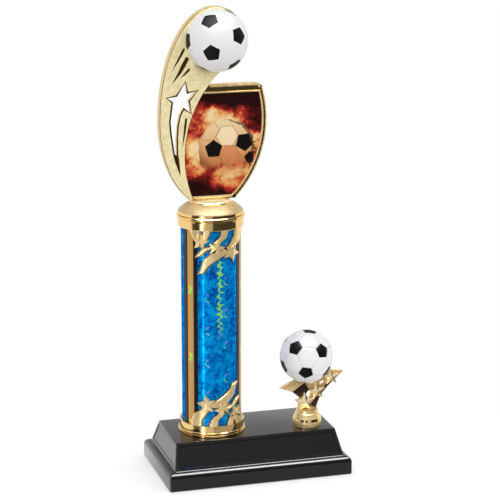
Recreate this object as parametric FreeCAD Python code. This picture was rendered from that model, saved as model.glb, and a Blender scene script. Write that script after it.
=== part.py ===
import FreeCAD, Part
import math
import os
from FreeCAD import Vector

# Column trophy: a weighted base, a foil-covered column between two star collars,
# a winged frame with a ball and a printed insert on top, and a small ball figure
# beside the column.  X runs left to right along the front of the base, the front
# faces -Y, Z is up, and the origin is the middle of the base's underside.

# ---- base ----
base_length = 159.0
base_height = 36.2
base_wall = 2.6
lip_height = 15.3
lip_round = 4.6
lip_ledge_side = 5.75
lip_ledge_front = 4.7
slope_side = 4.15
slope_front = 12.5
top_margin = 2.7
base_corner = 1.6
felt_thickness = 1.6
weight_thickness = 10.2
weight_gap = 0.4
boss_radius = 9.0
boss_drop = 6.0

# ---- column ----
column_inset = 38.7
column_length = 188.3
column_radius = 25.0
foil_thickness = 0.4
tube_wall = 2.2
tape_thickness = 0.2
tape_angle = 36.8
tape_turn = 120.0
tape_first = 60.0

# ---- collars ----
collar_floor = 2.0
collar_height = 10.2
collar_gap = 0.15
collar_wall = 2.15
rim_step = 1.0
rim_height = 2.1
bead_step = 0.7
bead_height = 1.9
ornament_thickness = 1.9

# ---- cap on the top collar ----
cap_inset = 0.2
cap_rim = 1.0
cap_height = 9.5
cap_ledge = 1.0
cap_wall = 1.8

# ---- tie rod and its fastenings ----
rod_radius = 3.1
rod_gap = 0.3
nut_flats = 11.1
nut_height = 5.6
nut_gap = 0.15
washer_radius = 8.5
washer_thickness = 1.6
rod_tail = 2.5

# ---- frame of the top figure ----
plate_thickness = 10.0
foot_radius = 17.0
foot_thickness = 2.5
spigot_radius = 7.2
spigot_lift = 0.5
spigot_gap = 0.2
frame_height = 95.3
frame_rim = 4.1
frame_sill = 2.9
frame_head = 7.1
pocket_depth = 2.5
insert_thickness = 1.2
insert_gap = 0.1
groove_depth = 1.6

# The wing's outer edge is two half ellipses that share a middle, its inner edge
# is a round arc, and so is the right side of the insert frame.
wing_x = 3.9
wing_z = 64.0
wing_half_width = 47.4
wing_rise = 94.8
wing_drop = 72.8
inner_arc_x = 72.4
inner_arc_z = 35.9
inner_arc_radius = 95.0
side_arc_x = -46.5
side_arc_z = 66.0
side_arc_radius = 93.6
frame_corner = 3.0

# ---- ball of the top figure ----
ball_radius = 25.6
ball_wall = 2.2
ball_x = 4.3
ball_y = -6.0
ball_top_gap = 1.6
ball_gap = 0.15
peg_radius = 2.0
peg_reach = 5.0
peg_root = 4.0
peg_behind = 3.4
peg_slope = 20.0
peg_gap = 0.1

# ---- side figure ----
side_inset = 19.6
side_y = -14.0
stand_foot_radius = 12.3
stand_waist_radius = 8.8
stand_foot_height = 14.3
ribbon_thickness = 3.2
star_thickness = 4.2
side_ball_radius = 22.6
side_ball_wall = 2.0
side_ball_x = -1.0
side_ball_z = 60.9
side_peg_radius = 1.3
side_peg_reach = 4.5
bolt_radius = 2.4
bolt_gap = 0.25
bolt_head_flats = 8.0
bolt_head_height = 3.5
side_nut_flats = 8.0
side_nut_height = 4.0
side_washer_radius = 6.0
side_washer_thickness = 1.2

# ---- sizes and places worked out from the ones above ----
collar_inner = column_radius + tape_thickness + collar_gap
band_radius = collar_inner + collar_wall
rim_radius = band_radius + rim_step
bead_radius = band_radius + bead_step
cap_radius = band_radius - cap_inset
cap_top_radius = foot_radius + cap_ledge
slope_foot_length = base_length - 2 * lip_ledge_side
top_length = slope_foot_length - 2 * slope_side
top_depth = 2 * (rim_radius + top_margin)
slope_foot_depth = top_depth + 2 * slope_front
base_depth = slope_foot_depth + 2 * lip_ledge_front
column_x = column_inset - top_length / 2
side_x = top_length / 2 - side_inset
collar_bottom_z = base_height
collar_top_z = base_height + column_length
figure_z = collar_top_z + cap_height + foot_thickness
spigot_length = cap_height - spigot_lift
ball_z = wing_z + wing_rise - ball_top_gap - ball_radius
peg_y = ball_y + peg_behind
column_axis = Vector(column_x, 0, 0)
side_axis = Vector(side_x, side_y, 0)
up = Vector(0, 0, 1)
back = Vector(0, 1, 0)
big = 400.0


def save(name, shape):
    """Write one sub-part as one STEP file."""
    shape.exportStep("parts/" + name + ".step")


def upright(radius, z_low, z_high, axis):
    """Solid cylinder about a vertical axis."""
    foot = Vector(axis.x, axis.y, z_low)
    return Part.makeCylinder(radius, z_high - z_low, foot, up)


def ring(outer, inner, z_low, z_high, axis):
    """Tube wall about a vertical axis."""
    return upright(outer, z_low, z_high, axis).cut(upright(inner, z_low - 1, z_high + 1, axis))


def turned(profile, axis):
    """Turn a closed outline of (radius, z) points about a vertical axis."""
    points = [Vector(axis.x + r, axis.y, z) for r, z in profile]
    face = Part.Face(Part.makePolygon(points + points[:1]))
    return face.revolve(axis, up, 360)


def hexagon(flats, z_low, z_high, axis):
    """Hexagonal prism, flat side to the front."""
    corner = flats / math.sqrt(3)
    points = []
    for step in range(6):
        angle = math.radians(60 * step)
        points.append(Vector(axis.x + corner * math.cos(angle),
                             axis.y + corner * math.sin(angle), z_low))
    face = Part.Face(Part.makePolygon(points + points[:1]))
    return face.extrude(up * (z_high - z_low))


def slab(points, y_front, thickness):
    """Flat plate cut to an outline of (x, z) points, from y_front backwards."""
    corners = [Vector(x, y_front, z) for x, z in points]
    face = Part.Face(Part.makePolygon(corners + corners[:1]))
    return face.extrude(back * thickness)


def disc(x, z, radius, y_front, thickness):
    """Flat round plate standing on edge, from y_front backwards."""
    return Part.makeCylinder(radius, thickness, Vector(x, y_front, z), back)


def block(x_low, x_high, y_low, y_high, z_low, z_high):
    """Box between two corners."""
    return Part.makeBox(x_high - x_low, y_high - y_low, z_high - z_low,
                        Vector(x_low, y_low, z_low))


def star(x, z, outer, inner, tilt):
    """Corners of a five-pointed star, its first point tilted from straight up."""
    points = []
    for step in range(10):
        radius = inner if step % 2 else outer
        angle = math.radians(90 + tilt - 36 * step)
        points.append((x + radius * math.cos(angle), z + radius * math.sin(angle)))
    return points


def tapered(length_low, depth_low, length_high, depth_high, z_low, z_high, corner):
    """Block whose four sides slope in evenly from one level to another."""
    wires = []
    for length, depth, z in ((length_low, depth_low, z_low), (length_high, depth_high, z_high)):
        wires.append(rounded_rectangle(length, depth, corner, z))
    return Part.makeLoft(wires, True, True)


def rounded_rectangle(length, depth, corner, z):
    """Closed outline with round corners, level at z."""
    half_x = length / 2
    half_y = depth / 2
    box = Part.makeBox(length, depth, 1, Vector(-half_x, -half_y, z))
    uprights = [e for e in box.Edges if abs(e.tangentAt(e.FirstParameter).z) > 0.99]
    soft = box.makeFillet(corner, uprights)
    for face in soft.Faces:
        if abs(face.CenterOfMass.z - z) < 1e-6:
            return face.OuterWire
    raise ValueError("no level face")


# ---- base ----
def make_base():
    """Hollow moulded base: a rounded lip, sloping sides and a flat top."""
    lip = Part.makeLoft([rounded_rectangle(base_length, base_depth, base_corner, 0),
                         rounded_rectangle(base_length, base_depth, base_corner, lip_height)],
                        True, True)
    top_edges = [e for e in lip.Edges if e.BoundBox.ZMin > lip_height - 1e-6]
    lip = lip.makeFillet(lip_round, top_edges)
    body = tapered(slope_foot_length, slope_foot_depth, top_length, top_depth,
                   lip_height - 0.01, base_height, base_corner)
    outer = lip.fuse(body).removeSplitter()
    thin = 2 * base_wall
    ledge_z = felt_thickness + weight_thickness
    chamber = tapered(base_length - thin, base_depth - thin, base_length - thin,
                      base_depth - thin, -1, ledge_z, 0.5)
    ledge = 2 * (base_wall + lip_round)
    upper = tapered(base_length - ledge - thin, base_depth - ledge - thin,
                    top_length - thin, top_depth - thin, ledge_z - 1,
                    base_height - base_wall, 0.5)
    shell = outer.cut(chamber).cut(upper)
    ceiling = base_height - base_wall
    for axis in (column_axis, side_axis):
        shell = shell.fuse(upright(boss_radius, ceiling - boss_drop, ceiling + 1, axis))
    shell = shell.cut(upright(rod_radius + rod_gap, 0, big, column_axis))
    shell = shell.cut(upright(bolt_radius + bolt_gap, 0, big, side_axis))
    save("base_shell", shell.removeSplitter())

    inset = 2 * (base_wall + weight_gap)
    weight = tapered(base_length - inset, base_depth - inset, base_length - inset,
                     base_depth - inset, felt_thickness, ledge_z, 0.5)
    save("base_weight", weight)
    felt = tapered(base_length - inset, base_depth - inset, base_length - inset,
                   base_depth - inset, 0, felt_thickness, 0.5)
    save("base_felt", felt)


# ---- column ----
def make_column():
    """Card tube, its foil wrap and three striped tapes down its length."""
    low = collar_bottom_z + collar_floor
    high = collar_top_z - collar_floor
    core = column_radius - foil_thickness
    save("column_tube", ring(core, core - tube_wall, low, high, column_axis))
    save("column_foil", ring(column_radius, core, low, high, column_axis))
    whole = ring(column_radius + tape_thickness, column_radius, low, high, column_axis)
    for number, name in enumerate(("stripe_right", "stripe_back", "stripe_left")):
        middle = math.radians(-90 + tape_first + tape_turn * number)
        half = math.radians(tape_angle / 2)
        corners = [Vector(column_x, 0, low)]
        for angle in (middle - half, middle, middle + half):
            corners.append(Vector(column_x + 60 * math.cos(angle), 60 * math.sin(angle), low))
        wedge = Part.Face(Part.makePolygon(corners + corners[:1])).extrude(up * (high - low))
        save(name, whole.common(wedge))


# ---- collars ----
def ornament():
    """Openwork of three stars and their tails, bent round the column.

    Points are (distance round the collar, height over the base); the first
    piece starts inside the collar's band, so that all of it is one moulding.
    """
    root = collar_height - 1.0
    top = collar_height + 40
    straps = [
        [(-27, root), (-24, 19), (-17, 24), (-13, 28), (-9, 24), (-12, 20), (-15.5, 15), (-16, root)],
        [(-9.5, root), (-6, 17), (-2, 20), (0, 24), (5, 20), (2, 18), (-1, 15), (-3, root)],
        [(7, root), (10, 17), (13, 20), (16.5, 18), (14.5, 14.5), (12, root)],
        [(17, root), (17, 13), (18, 18), (22, 18), (25, 14), (27, root)],
        [(-9, 28), (-5, 31), (0, 34), (5, 37), (10, 41), (13, 45), (19, 47), (16, 42), (14, 36),
         (10, 32), (5, 28), (0, 26.5), (-5, 26)],
        [(2, 26), (9, 26), (13, 28.5), (17, 31.5), (21.5, 33.5), (19, 29.5), (15, 26), (10, 24), (4, 22)],
        star(-11.5, 29, 8.2, 3.9, 8),
        star(2.5, 24.5, 7.2, 3.4, 20),
        star(16, 19.5, 7.4, 3.5, 28),
    ]
    sheet = ring(collar_inner + ornament_thickness, collar_inner, 0, top, Vector(0, 0, 0))
    pieces = []
    for outline in straps:
        corners = [(band_radius * math.sin(around / band_radius), height) for around, height in outline]
        pieces.append(sheet.common(slab(corners, -2 * column_radius, 2 * column_radius)))
    return pieces[0].fuse(pieces[1:])


def make_collars():
    """Two of the same moulding: one stands on the base, one hangs from the cap."""
    hole = rod_radius + rod_gap
    bead_top = rim_height + bead_height
    soft = 0.2 * bead_height
    profile = [(hole, 0), (rim_radius, 0), (rim_radius, rim_height), (band_radius, rim_height),
               (bead_radius, rim_height + soft), (bead_radius, bead_top - soft),
               (band_radius, bead_top), (band_radius, collar_height),
               (collar_inner, collar_height), (collar_inner, collar_floor), (hole, collar_floor)]
    collar = turned(profile, Vector(0, 0, 0))
    front = ornament()
    rear = front.copy()
    rear.rotate(Vector(0, 0, 0), up, 180)
    collar = collar.fuse(front).fuse(rear).removeSplitter()
    lower = collar.copy()
    lower.translate(Vector(column_x, 0, collar_bottom_z))
    save("bottom_collar", lower)
    upper = collar.copy()
    upper.rotate(Vector(0, 0, 0), back, 180)
    upper.translate(Vector(column_x, 0, collar_top_z))
    save("top_collar", upper)


def make_cap():
    """Hollow cone that closes the top collar and carries the figure."""
    z = collar_top_z
    hole = spigot_radius + spigot_gap
    profile = [(cap_radius - cap_wall, z), (cap_radius, z), (cap_radius, z + cap_rim),
               (cap_top_radius, z + cap_height), (hole, z + cap_height),
               (hole, z + cap_height - cap_wall),
               (cap_top_radius - 0.5 * cap_wall, z + cap_height - cap_wall),
               (cap_radius - cap_wall, z + cap_rim)]
    save("column_cap", turned(profile, column_axis))


# ---- tie rod ----
def make_tie_rod():
    """Threaded rod that clamps base, column and figure, with its nuts and washer."""
    seat_z = base_height - base_wall - boss_drop
    washer_low = seat_z - washer_thickness
    nut_low = washer_low - nut_height
    captive_low = figure_z - foot_thickness - spigot_length
    rod_top = captive_low + nut_height + rod_tail
    rod = upright(rod_radius, nut_low - rod_tail, rod_top, column_axis)
    save("tie_rod", rod)
    bore = upright(rod_radius, 0, big, column_axis)
    save("rod_washer", ring(washer_radius, rod_radius + rod_gap, washer_low, seat_z, column_axis))
    save("rod_nut", hexagon(nut_flats, nut_low, washer_low, column_axis).cut(bore))
    save("figure_nut", hexagon(nut_flats, captive_low, captive_low + nut_height, column_axis).cut(bore))


# ---- top figure; outlines are measured from the middle of the foot's top face ----
star_hole = [(-21.7, 99.4), (-20.4, 89.3), (-11.3, 91.3), (-19.2, 82.8), (-17.2, 72.5),
             (-23.5, 77.0), (-26.9, 70.6), (-28.6, 62.5), (-29.5, 52.3), (-29.7, 43.0),
             (-32.7, 43.5), (-34.6, 56.0), (-35.4, 66.3), (-33.0, 82.3), (-38.4, 86.3),
             (-29.6, 87.2)]
grooves = [(-22.7, 125.6, -32.6, 108.6, 1.2), (-20.0, 117.9, -32.2, 99.3, 2.6),
           (-18.6, 108.6, -25.2, 102.3, 1.6), (-21.5, 68.1, -24.7, 47.2, 1.6),
           (-29.7, 43.6, -26.8, 22.0, 2.2)]


def half_ellipse(rise, y_front, thickness):
    """Upper or lower half of the wing's outer edge, as a plate."""
    centre = Vector(wing_x, y_front, wing_z)
    side = Vector(wing_x + wing_half_width, y_front, wing_z)
    tip = Vector(wing_x, y_front, wing_z + rise)
    plate = Part.Face(Part.Wire(Part.Ellipse(tip, side, centre).toShape()))
    solid = plate.extrude(back * thickness)
    if rise > 0:
        keep = block(-big, big, -big, big, wing_z, big)
    else:
        keep = block(-big, big, -big, big, -big, wing_z)
    return solid.common(keep)


def shield(rim_in, z_low, z_high, y_front, thickness):
    """Plate between two levels, inside the frame's curved right side."""
    plate = block(-big, big, y_front, y_front + thickness, z_low, z_high)
    return plate.common(disc(side_arc_x, side_arc_z, side_arc_radius - rim_in, y_front, thickness))


def make_frame():
    """Wing, insert frame, foot and screw spigot, moulded as one."""
    y_front = -plate_thickness / 2
    wing = half_ellipse(wing_rise, y_front, plate_thickness)
    wing = wing.fuse(half_ellipse(-wing_drop, y_front, plate_thickness))
    through = plate_thickness + 2
    wing = wing.cut(disc(inner_arc_x, inner_arc_z, inner_arc_radius, y_front - 1, through))
    wing = wing.cut(slab([(ball_x, ball_z), (ball_x + 0.7 * big, ball_z + big), (big, ball_z + big),
                          (big, 0), (ball_x + 0.12 * ball_z, 0)], y_front - 1, through))
    wing = wing.common(block(-big, big, -big, big, 0, big))
    outer = shield(0, 0, frame_height, y_front, plate_thickness)
    outer = outer.common(disc(inner_arc_x, inner_arc_z, inner_arc_radius + 1, y_front, plate_thickness))
    corner_x = max(v.X for v in outer.Vertexes if v.Z > frame_height - 0.01)
    corner = [e for e in outer.Edges
              if e.BoundBox.ZMin > frame_height - 0.01 and e.BoundBox.XMin > corner_x - 0.01]
    outer = outer.makeFillet(frame_corner, corner)
    frame = wing.fuse(outer)
    pocket = insert_shape(0, y_front, pocket_depth)
    frame = frame.cut(pocket)
    frame = frame.cut(slab(star_hole, y_front - 1, through))
    for x_1, z_1, x_2, z_2, width in grooves:
        frame = frame.cut(groove(x_1, z_1, x_2, z_2, width, y_front))
    centre = Vector(ball_x, ball_y, ball_z)
    frame = frame.cut(Part.makeSphere(ball_radius + ball_gap, centre))
    frame = frame.fuse(ball_peg(peg_radius))
    origin = Vector(0, 0, 0)
    frame = frame.fuse(upright(foot_radius, -foot_thickness, 0, origin))
    spigot_low = -foot_thickness - spigot_length
    frame = frame.fuse(upright(spigot_radius, spigot_low, -foot_thickness, origin))
    frame = frame.cut(hexagon(nut_flats + 2 * nut_gap, spigot_low, spigot_low + nut_height, origin))
    frame = frame.cut(upright(rod_radius + rod_gap, spigot_low, spigot_low + nut_height + rod_tail + 1, origin))
    frame.translate(Vector(column_x, 0, figure_z))
    save("figure_frame", frame.removeSplitter())


def insert_shape(gap, y_front, thickness):
    """Outline of the insert and of its pocket, which differ only by the gap."""
    plate = shield(frame_rim + gap, frame_sill + gap, frame_height - frame_head - gap, y_front, thickness)
    return plate.common(disc(inner_arc_x, inner_arc_z, inner_arc_radius - gap, y_front, thickness))


def groove(x_1, z_1, x_2, z_2, width, y_front):
    """Straight groove in the wing's face, pointed at its lower end."""
    run = math.hypot(x_2 - x_1, z_2 - z_1)
    side_x = width / 2 * (z_2 - z_1) / run
    side_z = -width / 2 * (x_2 - x_1) / run
    outline = [(x_1 + side_x, z_1 + side_z), (x_1 - side_x, z_1 - side_z), (x_2, z_2)]
    return slab(outline, y_front - 1, groove_depth + 1)


def ball_peg(radius):
    """Peg that points from the wing to the ball's middle and stops in its wall."""
    slope = math.radians(peg_slope)
    away = Vector(-math.cos(slope), 0, -math.sin(slope))
    foot = Vector(ball_x, peg_y, ball_z) + away * (ball_radius + peg_root)
    return Part.makeCylinder(radius, peg_root + peg_reach, foot, away * -1)


def make_insert():
    """Printed plate glued in the frame's pocket."""
    y_back = -plate_thickness / 2 + pocket_depth
    plate = insert_shape(insert_gap, y_back - insert_thickness, insert_thickness)
    plate.translate(Vector(column_x, 0, figure_z))
    save("insert_plate", plate)


def half_shells(name, centre, radius, wall, hole):
    """Front and rear halves of a hollow ball; the rear one has the peg's hole."""
    shell = Part.makeSphere(radius, centre).cut(Part.makeSphere(radius - wall, centre))
    front_side = block(-big, big, -big, centre.y, -big, 2 * big)
    save(name + "_front", shell.common(front_side))
    save(name + "_rear", shell.cut(front_side).cut(hole))


def make_top_ball():
    """Hollow ball held by the wing's peg."""
    centre = Vector(ball_x + column_x, ball_y, ball_z + figure_z)
    hole = ball_peg(peg_radius + peg_gap)
    hole.translate(Vector(column_x, 0, figure_z))
    half_shells("top_ball", centre, ball_radius, ball_wall, hole)


# ---- side figure; outlines are measured from its axis and from the base's top ----
ribbon = [(-8.6, 13.0), (-7.5, 18), (-6.7, 24.1), (-13.8, 30.2), (-2.2, 37.4), (4.5, 35.6),
          (8.7, 36.9), (13.7, 41.0), (17.0, 45.7), (20.8, 46.8), (32.4, 45.0), (25.5, 38.7),
          (20.9, 34.5), (15.9, 29.1), (13.0, 25.6), (11.4, 22.4), (9.7, 18.8), (8.5, 15.1), (8.5, 13.0)]
ribbon_gaps = [[(1.6, 30.8), (-1.2, 26.5), (2.1, 22.4), (3.6, 28.2)],
               [(9.6, 36.8), (15.0, 39.2), (15.4, 35.4), (12.1, 34.1)]]
wing_flag = [(-25.0, 34.5), (-10.9, 41.1), (-1.0, 37.4), (-5.0, 34.0), (-13.2, 29.6)]
side_stars = [(-2.6, 20.6, 9.2, 4.2, 3), (8.0, 29.3, 7.8, 3.6, 8), (20.6, 41.2, 7.4, 3.4, 4)]


def make_stand():
    """Round foot, ribbon cradle and three stars, moulded as one."""
    z = base_height
    waist_z = z + stand_foot_height
    lower = stand_foot_radius
    profile = [(0, z), (lower, z), (lower, z + 0.40 * stand_foot_height),
               (stand_waist_radius + 1.0, z + 0.72 * stand_foot_height),
               (stand_waist_radius, waist_z), (0, waist_z)]
    stand = turned(profile, side_axis)
    stand = stand.fuse(place(slab(ribbon, 0, ribbon_thickness)))
    for outline in ribbon_gaps:
        stand = stand.cut(place(slab(outline, -1, ribbon_thickness + 2)))
    for x, height, outer, inner, tilt in side_stars:
        shape = slab(star(x, height, outer, inner, tilt), -star_thickness, star_thickness + 1)
        stand = stand.fuse(place(shape))
    stand = stand.fuse(place(slab(wing_flag, -1.5, ribbon_thickness)))
    stand = stand.cut(Part.makeSphere(side_ball_radius + ball_gap, side_ball_centre()))
    stand = stand.fuse(side_peg(side_peg_radius))
    stand = stand.cut(hexagon(side_nut_flats + 2 * nut_gap, z, z + side_nut_height, side_axis))
    stand = stand.cut(upright(bolt_radius + bolt_gap, z, z + side_nut_height + rod_tail + 1, side_axis))
    save("side_stand", stand.removeSplitter())


def place(shape):
    """Move an outline drawn about the figure's axis to its place on the base."""
    shape.translate(Vector(side_x, side_y, base_height))
    return shape


def side_ball_centre():
    return Vector(side_x + side_ball_x, side_y, base_height + side_ball_z)


def side_peg(radius):
    """Upright peg from the ribbon into the foot of the ball."""
    centre = side_ball_centre()
    foot = Vector(centre.x, side_y + ribbon_thickness / 2, centre.z - side_ball_radius - peg_root)
    return Part.makeCylinder(radius, peg_root + side_peg_reach, foot, up)


def make_side_ball():
    """Hollow ball that stands on the ribbon's peg."""
    half_shells("side_ball", side_ball_centre(), side_ball_radius, side_ball_wall,
                side_peg(side_peg_radius + peg_gap))


def make_side_fastening():
    """Bolt from under the base into the nut in the stand's foot."""
    seat_z = base_height - base_wall - boss_drop
    head_top = seat_z - side_washer_thickness
    head = hexagon(bolt_head_flats, head_top - bolt_head_height, head_top, side_axis)
    shank_top = base_height + side_nut_height + rod_tail
    bolt = head.fuse(upright(bolt_radius, head_top, shank_top, side_axis))
    save("side_bolt", bolt)
    save("side_washer", ring(side_washer_radius, bolt_radius + bolt_gap, head_top, seat_z, side_axis))
    nut = hexagon(side_nut_flats, base_height, base_height + side_nut_height, side_axis)
    save("side_nut", nut.cut(upright(bolt_radius, 0, big, side_axis)))


os.makedirs("parts", exist_ok=True)
make_base()
make_column()
make_collars()
make_cap()
make_tie_rod()
make_frame()
make_insert()
make_top_ball()
make_stand()
make_side_ball()
make_side_fastening()
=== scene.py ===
import math

import bmesh
import bpy
from mathutils import Euler, Matrix, Vector


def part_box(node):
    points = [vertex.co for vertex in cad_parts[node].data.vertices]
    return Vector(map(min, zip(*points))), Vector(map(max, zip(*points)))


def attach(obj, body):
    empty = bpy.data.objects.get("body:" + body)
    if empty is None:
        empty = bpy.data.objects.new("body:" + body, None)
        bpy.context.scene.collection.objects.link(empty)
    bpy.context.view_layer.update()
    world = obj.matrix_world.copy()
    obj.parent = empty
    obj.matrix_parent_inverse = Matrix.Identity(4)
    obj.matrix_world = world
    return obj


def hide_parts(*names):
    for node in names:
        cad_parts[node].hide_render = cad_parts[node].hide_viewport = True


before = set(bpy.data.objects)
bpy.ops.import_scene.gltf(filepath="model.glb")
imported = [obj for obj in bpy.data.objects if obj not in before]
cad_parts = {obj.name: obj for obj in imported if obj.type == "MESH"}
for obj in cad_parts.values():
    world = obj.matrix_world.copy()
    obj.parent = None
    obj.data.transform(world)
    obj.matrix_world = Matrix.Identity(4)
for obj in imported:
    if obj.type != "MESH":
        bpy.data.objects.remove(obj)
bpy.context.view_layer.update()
scene = bpy.context.scene
scene.view_settings.view_transform = "Standard"

# ---- camera and studio ----
# The trophy stands on a pale round table top.  Soft light comes from all round,
# and the polished parts mirror tall white panels with dark gaps between them.
aim = Vector((0.0032, 0.0, 0.18983))
turn, rise, reach = math.radians(-16.26), math.radians(13.76), 1.6
camera_data = bpy.data.cameras.new("camera")
camera_data.lens = 137.2
camera = bpy.data.objects.new("camera", camera_data)
camera.location = aim + reach * Vector((math.sin(turn) * math.cos(rise),
                                        -math.cos(turn) * math.cos(rise), math.sin(rise)))
camera.rotation_euler = (math.pi / 2 - rise, 0, turn)
scene.collection.objects.link(camera)
scene.camera = camera


def add(tree, kind, inputs=(), **settings):
    """Put a node in a tree, with each input set to a value or joined to another node."""
    node = tree.nodes.new(kind)
    for key, value in settings.items():
        setattr(node, key, value)
    for key, value in dict(inputs).items():
        if isinstance(value, bpy.types.NodeSocket):
            tree.links.new(value, node.inputs[key])
        else:
            node.inputs[key].default_value = value
    return node


def calc(tree, operation, first, second=0.0, third=0.0):
    """Result of one sum on numbers that change over a surface."""
    return add(tree, "ShaderNodeMath", {0: first, 1: second, 2: third}, operation=operation).outputs[0]


def times(tree, first, second):
    """Product of two numbers."""
    return calc(tree, "MULTIPLY", first, second)


def plus(tree, first, second):
    """Sum of two numbers."""
    return calc(tree, "ADD", first, second)


def minus(tree, first, second):
    """First number less the second."""
    return calc(tree, "SUBTRACT", first, second)


def mix(tree, amount, first, second):
    """Colour between two others."""
    first, second = [c if isinstance(c, bpy.types.NodeSocket) else (*c, 1) for c in (first, second)]
    return add(tree, "ShaderNodeMix", {0: amount, 6: first, 7: second}, data_type="RGBA").outputs[2]


def ramp(tree, value, stops):
    """Colour read off a scale; stops are (place, red, green, blue)."""
    node = add(tree, "ShaderNodeValToRGB", {0: value})
    scale = node.color_ramp
    for number, (place, *colour) in enumerate(stops):
        stop = scale.elements[number] if number < 2 else scale.elements.new(place)
        stop.position, stop.color = place, (*colour, 1)
    return node.outputs[0]


def grey_ramp(tree, value, stops):
    """Brightness read off a scale; stops are (place, brightness)."""
    return ramp(tree, value, [(place, level, level, level) for place, level in stops])


def held(tree, value):
    """A number held between nought and one."""
    return calc(tree, "MINIMUM", 1, calc(tree, "MAXIMUM", 0, value))


def spot_on(tree):
    """Place on a piece, in metres from the trophy's own origin."""
    return add(tree, "ShaderNodeTexCoord").outputs["Object"]


world = bpy.data.worlds.new("studio")
scene.world = world
world.use_nodes = True
sky = world.node_tree
sky.nodes.clear()
way = add(sky, "ShaderNodeSeparateXYZ", {0: add(sky, "ShaderNodeTexCoord").outputs["Generated"]})
bearing = calc(sky, "ARCTAN2", way.outputs[0], times(sky, way.outputs[1], -1))
bearing = calc(sky, "MULTIPLY_ADD", bearing, 1 / (2 * math.pi), 0.5)
panels = grey_ramp(sky, bearing, [
    (0.0, 0.95), (0.262, 0.95), (0.272, 0.06), (0.345, 0.05), (0.352, 0.9), (0.366, 0.9), (0.370, 7.5),
    (0.379, 7.5), (0.383, 0.9), (0.402, 0.9), (0.408, 0.55),
    (0.475, 0.5), (0.485, 0.05), (0.725, 0.05), (0.740, 0.95), (1.0, 0.95)])
ceiling = grey_ramp(sky, way.outputs[2], [(0.0, 0.2), (0.60, 0.2), (0.85, 0.8), (1.0, 1.0)])
high = calc(sky, "MAXIMUM", 0, calc(sky, "MULTIPLY_ADD", way.outputs[2], 4, -1))
high = calc(sky, "SMOOTH_MIN", 1, high, 0.1)
mirrored = mix(sky, high, panels, ceiling)
level = calc(sky, "MULTIPLY_ADD", way.outputs[2], 0.5, 0.5)
soft_light = grey_ramp(sky, level, [(0.0, 0.40), (0.45, 0.55), (0.7, 0.75), (1.0, 0.95)])
rays = add(sky, "ShaderNodeLightPath")
shown = mix(sky, rays.outputs["Is Glossy Ray"], soft_light, mirrored)
shown = mix(sky, rays.outputs["Is Camera Ray"], shown, (1, 1, 1))
backdrop = add(sky, "ShaderNodeBackground", {0: shown, 1: 1.0})
add(sky, "ShaderNodeOutputWorld", {0: backdrop.outputs[0]})

for name, place, width, depth, energy, glossy in (
        ("key_lamp", (-0.5, -1.1, 1.4), 0.7, 0.7, 7, False),
        ("side_lamp", (1.2, -0.7, 0.8), 0.6, 0.6, 3, False),
        ("strip_lamp", (0.0, -0.3, 1.5), 1.5, 0.9, 62, True)):
    lamp_data = bpy.data.lights.new(name, "AREA")
    lamp_data.shape, lamp_data.size, lamp_data.size_y, lamp_data.energy = "RECTANGLE", width, depth, energy
    lamp = bpy.data.objects.new(name, lamp_data)
    lamp.location = place
    lamp.rotation_euler = (aim - Vector(place)).to_track_quat("-Z", "Y").to_euler()
    lamp.visible_glossy, lamp.visible_diffuse = glossy, not glossy
    scene.collection.objects.link(lamp)

table_radius, table_gap = 0.6, 0.0004
table = bmesh.new()
bmesh.ops.create_circle(table, cap_ends=True, segments=96, radius=table_radius)
bmesh.ops.translate(table, verts=table.verts, vec=(0, 0, -table_gap))
table_mesh = bpy.data.meshes.new("table")
table.to_mesh(table_mesh)
table.free()
table_finish = bpy.data.materials.new("pale_table")
table_finish.use_nodes = True
wood = table_finish.node_tree
wood.nodes.clear()
spot = spot_on(wood)
reach = add(wood, "ShaderNodeVectorMath", {0: spot}, operation="LENGTH").outputs["Value"]
rim = grey_ramp(wood, reach, [(0.0, 0.0), (0.13, 0.0), (0.32, 1.0), (1.0, 1.0)])
near = add(wood, "ShaderNodeBsdfDiffuse", {0: (0.86, 0.86, 0.87, 1)})
glow = add(wood, "ShaderNodeEmission", {0: (1, 1, 1, 1), 1: 0.22})
near = add(wood, "ShaderNodeAddShader", {0: near.outputs[0], 1: glow.outputs[0]})
far = add(wood, "ShaderNodeEmission", {0: (1, 1, 1, 1), 1: 1.0})
top = add(wood, "ShaderNodeMixShader", {0: rim, 1: near.outputs[0], 2: far.outputs[0]})
rays = add(wood, "ShaderNodeLightPath")
unseen = grey_ramp(wood, reach, [(0.0, 0.6), (0.15, 0.65), (0.2, 1.0), (1.0, 1.0)])
unseen = times(wood, rays.outputs["Is Glossy Ray"], unseen)
clear = add(wood, "ShaderNodeBsdfTransparent")
top = add(wood, "ShaderNodeMixShader", {0: unseen, 1: top.outputs[0], 2: clear.outputs[0]})
add(wood, "ShaderNodeOutputMaterial", {0: top.outputs[0]})
table_mesh.materials.append(table_finish)
table_top = bpy.data.objects.new("table", table_mesh)
scene.collection.objects.link(table_top)


# ---- base ----
# The base is injection-moulded black styrene with a mirror gloss.  A rounded lip
# runs round its foot, each sloping side carries a shallow sunk panel, and a plaster
# weight and a felt sheet are glued in from below.
def new_finish(name, colour, roughness, metallic=0.0, coat=0.0, specular=0.5):
    """Material with one Principled shader; constants sit on the shader's own sockets."""
    material = bpy.data.materials.new(name)
    material.use_nodes = True
    tree = material.node_tree
    shader = tree.nodes["Principled BSDF"]
    for key, value in (("Base Color", (*colour, 1)), ("Roughness", roughness), ("Metallic", metallic),
                       ("Coat Weight", coat), ("Coat Roughness", 0.06), ("Specular IOR Level", specular)):
        shader.inputs[key].default_value = value
    return material, tree, shader


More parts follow.
